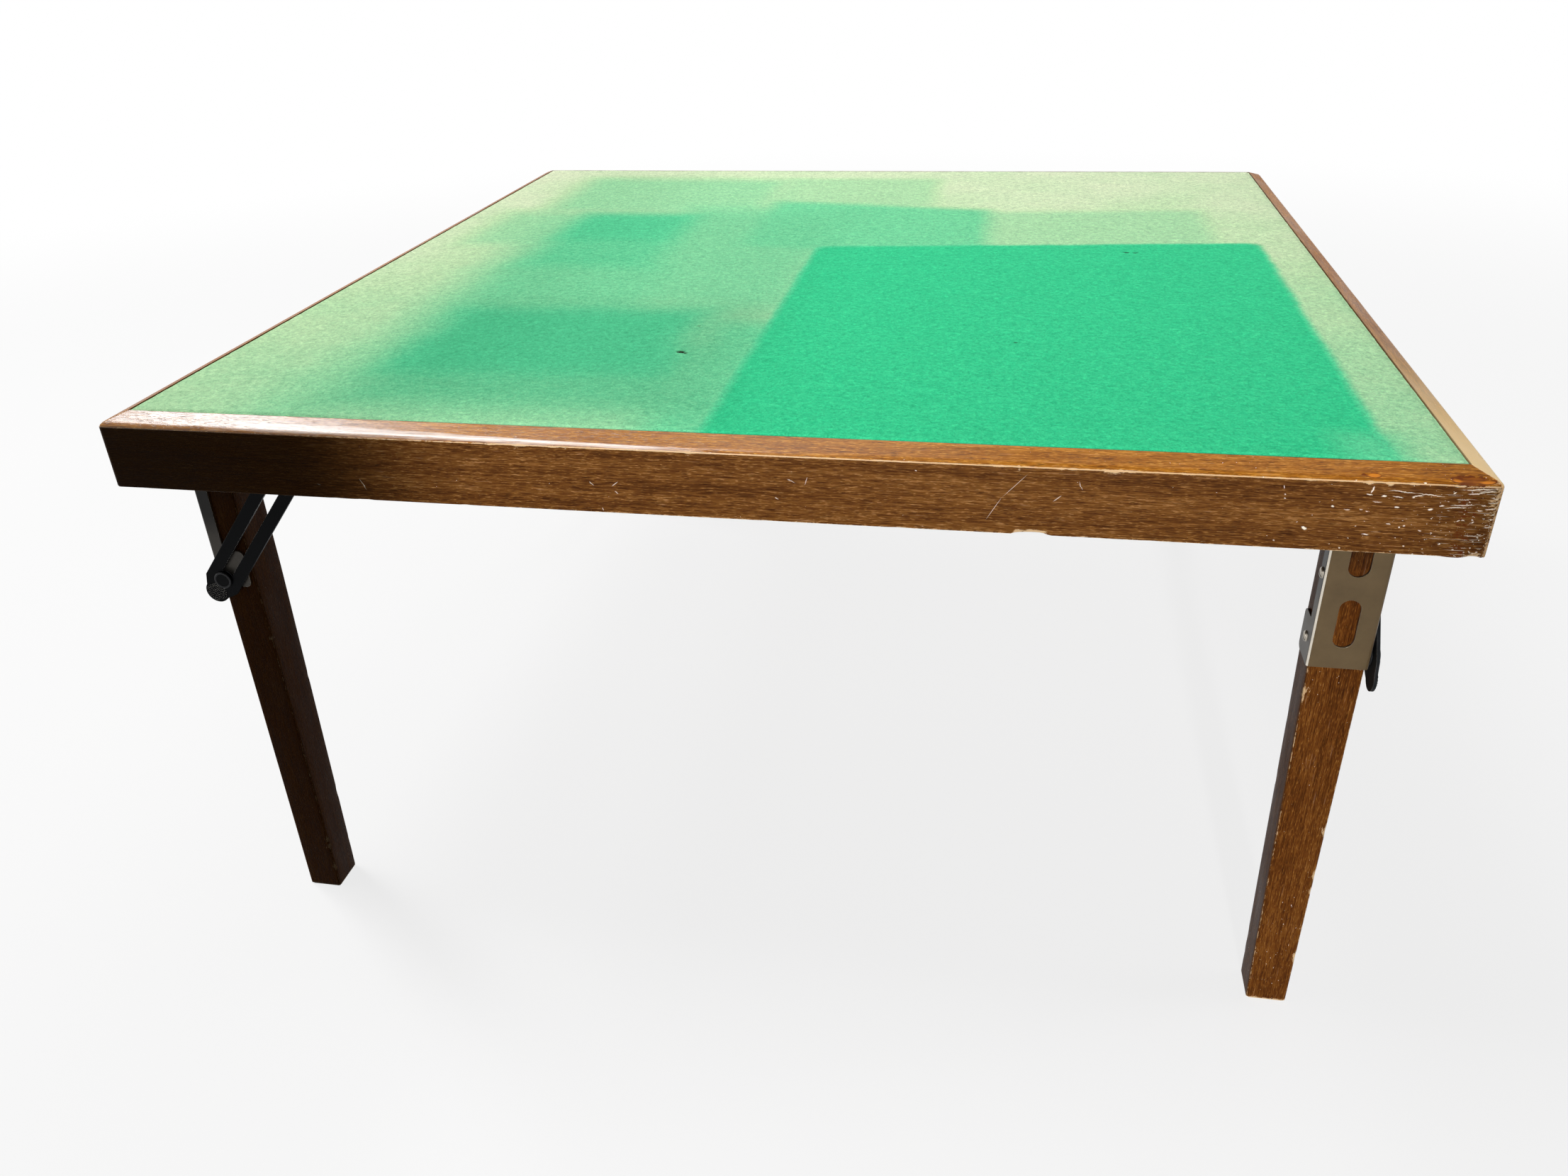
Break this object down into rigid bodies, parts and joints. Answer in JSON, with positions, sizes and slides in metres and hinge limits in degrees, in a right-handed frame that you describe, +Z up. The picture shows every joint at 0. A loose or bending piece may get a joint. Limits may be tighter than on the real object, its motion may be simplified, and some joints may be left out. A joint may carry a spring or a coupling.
{
  "type": "folding card table",
  "caption": "Low square card table: felt-covered board in a mitred wooden frame on tapered legs that fold into the frame, each locked by a slotted steel stay.",
  "frame": {"origin": "on the floor, under the middle of the top", "axes": "+Z up, the front rail towards -Y, +X to the right seen from the front"},
  "size_m": [0.79, 0.79, 0.404],
  "materials": {
    "wood_frame": "stained and varnished, worn",
    "wood_leg": "stained and varnished, worn",
    "board": "bare plywood",
    "baize": "wool baize, faded",
    "pins": "bright",
    "bracket_steel": "dull plating",
    "plate_steel": "dull plating",
    "screw_steel": "bright",
    "pin_steel": "bright",
    "black_steel": "black enamel, worn edges"
  },
  "bodies": {
    "table_top": {"front_rail": "wood_frame", "right_rail": "wood_frame", "back_rail": "wood_frame", "left_rail": "wood_frame", "top_board": "board", "felt_top": "baize", "board_pins": "pins", "front_left_hinge_plate": "plate_steel", "front_left_hinge_screws": "screw_steel", "front_left_leg_pin": "pin_steel", "front_left_leg_spacer": "pin_steel", "front_left_stay_spacer": "pin_steel", "front_right_hinge_plate": "plate_steel", "front_right_hinge_screws": "screw_steel", "front_right_leg_pin": "pin_steel", "front_right_leg_spacer": "pin_steel", "front_right_stay_spacer": "pin_steel", "back_right_hinge_plate": "plate_steel", "back_right_hinge_screws": "screw_steel", "back_right_leg_pin": "pin_steel", "back_right_leg_spacer": "pin_steel", "back_right_stay_spacer": "pin_steel", "back_left_hinge_plate": "plate_steel", "back_left_hinge_screws": "screw_steel", "back_left_leg_pin": "pin_steel", "back_left_leg_spacer": "pin_steel", "back_left_stay_spacer": "pin_steel"},
    "front_left_leg_body": {"front_left_leg": "wood_leg", "front_left_leg_bracket": "bracket_steel", "front_left_bracket_screws": "screw_steel"},
    "front_left_stud_body": {"front_left_stud": "black_steel"},
    "front_left_stay_body": {"front_left_stay": "black_steel", "front_left_stay_rivet": "pin_steel"},
    "front_right_leg_body": {"front_right_leg": "wood_leg", "front_right_leg_bracket": "bracket_steel", "front_right_bracket_screws": "screw_steel"},
    "front_right_stud_body": {"front_right_stud": "black_steel"},
    "front_right_stay_body": {"front_right_stay": "black_steel", "front_right_stay_rivet": "pin_steel"},
    "back_right_leg_body": {"back_right_leg": "wood_leg", "back_right_leg_bracket": "bracket_steel", "back_right_bracket_screws": "screw_steel"},
    "back_right_stud_body": {"back_right_stud": "black_steel"},
    "back_right_stay_body": {"back_right_stay": "black_steel", "back_right_stay_rivet": "pin_steel"},
    "back_left_leg_body": {"back_left_leg": "wood_leg", "back_left_leg_bracket": "bracket_steel", "back_left_bracket_screws": "screw_steel"},
    "back_left_stud_body": {"back_left_stud": "black_steel"},
    "back_left_stay_body": {"back_left_stay": "black_steel", "back_left_stay_rivet": "pin_steel"}
  },
  "joints": [
    {"name": "front_left_leg_fold", "type": "hinge", "parent": "table_top", "child": "front_left_leg_body", "pos_m": [-0.3555, -0.3435, 0.3785], "axis": [0, -1, 0], "range_deg": [0, 90]},
    {"name": "front_left_stud_turn", "type": "hinge", "parent": "front_left_leg_body", "child": "front_left_stud_body", "pos_m": [-0.3635, -0.3625, 0.2765], "axis": [0, -1, 0], "range_deg": [0, 38.5]},
    {"name": "front_left_stay_slide", "type": "slide", "parent": "front_left_stud_body", "child": "front_left_stay_body", "axis": [-0.6225, 0, -0.7826], "range_m": [0, 0.0849]},
    {"name": "front_right_leg_fold", "type": "hinge", "parent": "table_top", "child": "front_right_leg_body", "pos_m": [0.3435, -0.3555, 0.3785], "axis": [1, 0, 0], "range_deg": [0, 90]},
    {"name": "front_right_stud_turn", "type": "hinge", "parent": "front_right_leg_body", "child": "front_right_stud_body", "pos_m": [0.3625, -0.3635, 0.2765], "axis": [1, 0, 0], "range_deg": [0, 38.5]},
    {"name": "front_right_stay_slide", "type": "slide", "parent": "front_right_stud_body", "child": "front_right_stay_body", "axis": [0, -0.6225, -0.7826], "range_m": [0, 0.0849]},
    {"name": "back_right_leg_fold", "type": "hinge", "parent": "table_top", "child": "back_right_leg_body", "pos_m": [0.3555, 0.3435, 0.3785], "axis": [0, 1, 0], "range_deg": [0, 90]},
    {"name": "back_right_stud_turn", "type": "hinge", "parent": "back_right_leg_body", "child": "back_right_stud_body", "pos_m": [0.3635, 0.3625, 0.2765], "axis": [0, 1, 0], "range_deg": [0, 38.5]},
    {"name": "back_right_stay_slide", "type": "slide", "parent": "back_right_stud_body", "child": "back_right_stay_body", "axis": [0.6225, 0, -0.7826], "range_m": [0, 0.0849]},
    {"name": "back_left_leg_fold", "type": "hinge", "parent": "table_top", "child": "back_left_leg_body", "pos_m": [-0.3435, 0.3555, 0.3785], "axis": [-1, 0, 0], "range_deg": [0, 90]},
    {"name": "back_left_stud_turn", "type": "hinge", "parent": "back_left_leg_body", "child": "back_left_stud_body", "pos_m": [-0.3625, 0.3635, 0.2765], "axis": [-1, 0, 0], "range_deg": [0, 38.5]},
    {"name": "back_left_stay_slide", "type": "slide", "parent": "back_left_stud_body", "child": "back_left_stay_body", "axis": [0, 0.6225, -0.7826], "range_m": [0, 0.0849]}
  ],
  "couplings": [
    {"joint": "front_left_stud_turn", "follows": "front_left_leg_fold", "ratio": 0.42778},
    {"joint": "front_left_stay_slide", "follows": "front_left_leg_fold", "m_per_rad": 0.054038},
    {"joint": "front_right_stud_turn", "follows": "front_right_leg_fold", "ratio": 0.42778},
    {"joint": "front_right_stay_slide", "follows": "front_right_leg_fold", "m_per_rad": 0.054038},
    {"joint": "back_right_stud_turn", "follows": "back_right_leg_fold", "ratio": 0.42778},
    {"joint": "back_right_stay_slide", "follows": "back_right_leg_fold", "m_per_rad": 0.054038},
    {"joint": "back_left_stud_turn", "follows": "back_left_leg_fold", "ratio": 0.42778},
    {"joint": "back_left_stay_slide", "follows": "back_left_leg_fold", "m_per_rad": 0.054038}
  ]
}
